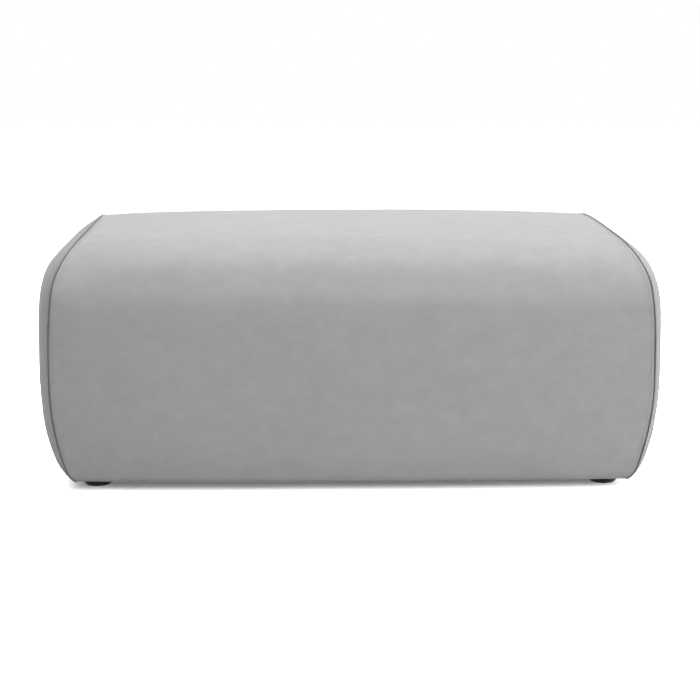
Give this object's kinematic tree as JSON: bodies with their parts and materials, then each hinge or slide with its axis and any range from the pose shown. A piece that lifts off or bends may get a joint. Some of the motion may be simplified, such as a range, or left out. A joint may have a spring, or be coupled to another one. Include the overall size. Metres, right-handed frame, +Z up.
{
  "type": "footstool",
  "caption": "Rectangular upholstered footstool with a crowned top, domed ends, corded end seams, a timber frame with webbing inside and low round glides.",
  "frame": {"origin": "on the floor, under the middle of the body: the centre of the bottom of its bounding box", "axes": "+X along the length, +Z up, and the front faces -Y"},
  "size_m": [1.1, 0.66, 0.445],
  "materials": {
    "cover_fabric": "soft short-pile velour, plain mid grey",
    "seam_cord": "thin twisted cord, dark grey",
    "dust_cloth": "spun-bonded non-woven cloth, black",
    "batting": "bonded polyester batting",
    "foam": "polyurethane foam",
    "felt": "needled felt",
    "webbing": "woven jute webbing",
    "frame_wood": "planed softwood",
    "hardboard": "pressed hardboard",
    "dowel_wood": "beech dowel",
    "screw_steel": "zinc-plated steel",
    "foot_plastic": "moulded black plastic, satin"
  },
  "bodies": {
    "root": {"wrap_cover": "cover_fabric", "left_end_cover": "cover_fabric", "right_end_cover": "cover_fabric", "left_seam_cord": "seam_cord", "right_seam_cord": "seam_cord", "dust_cover": "dust_cloth", "wrap_batting": "batting", "left_end_batting": "batting", "right_end_batting": "batting", "seat_foam": "foam", "front_foam": "foam", "back_foam": "foam", "left_end_foam": "foam", "right_end_foam": "foam", "webbing_felt": "felt", "lengthwise_webbing": "webbing", "crosswise_webbing": "webbing", "front_top_rail": "frame_wood", "back_top_rail": "frame_wood", "left_top_rail": "frame_wood", "right_top_rail": "frame_wood", "front_bottom_rail": "frame_wood", "back_bottom_rail": "frame_wood", "left_bottom_rail": "frame_wood", "right_bottom_rail": "frame_wood", "front_left_post": "frame_wood", "front_right_post": "frame_wood", "back_left_post": "frame_wood", "back_right_post": "frame_wood", "front_centre_post": "frame_wood", "back_centre_post": "frame_wood", "left_top_stretcher": "frame_wood", "right_top_stretcher": "frame_wood", "left_base_stretcher": "frame_wood", "right_base_stretcher": "frame_wood", "front_board": "hardboard", "back_board": "hardboard", "left_board": "hardboard", "right_board": "hardboard", "frame_dowels": "dowel_wood", "frame_screws": "screw_steel", "front_left_foot": "foot_plastic", "front_right_foot": "foot_plastic", "back_left_foot": "foot_plastic", "back_right_foot": "foot_plastic", "foot_screws": "screw_steel"}
  },
  "joints": []
}
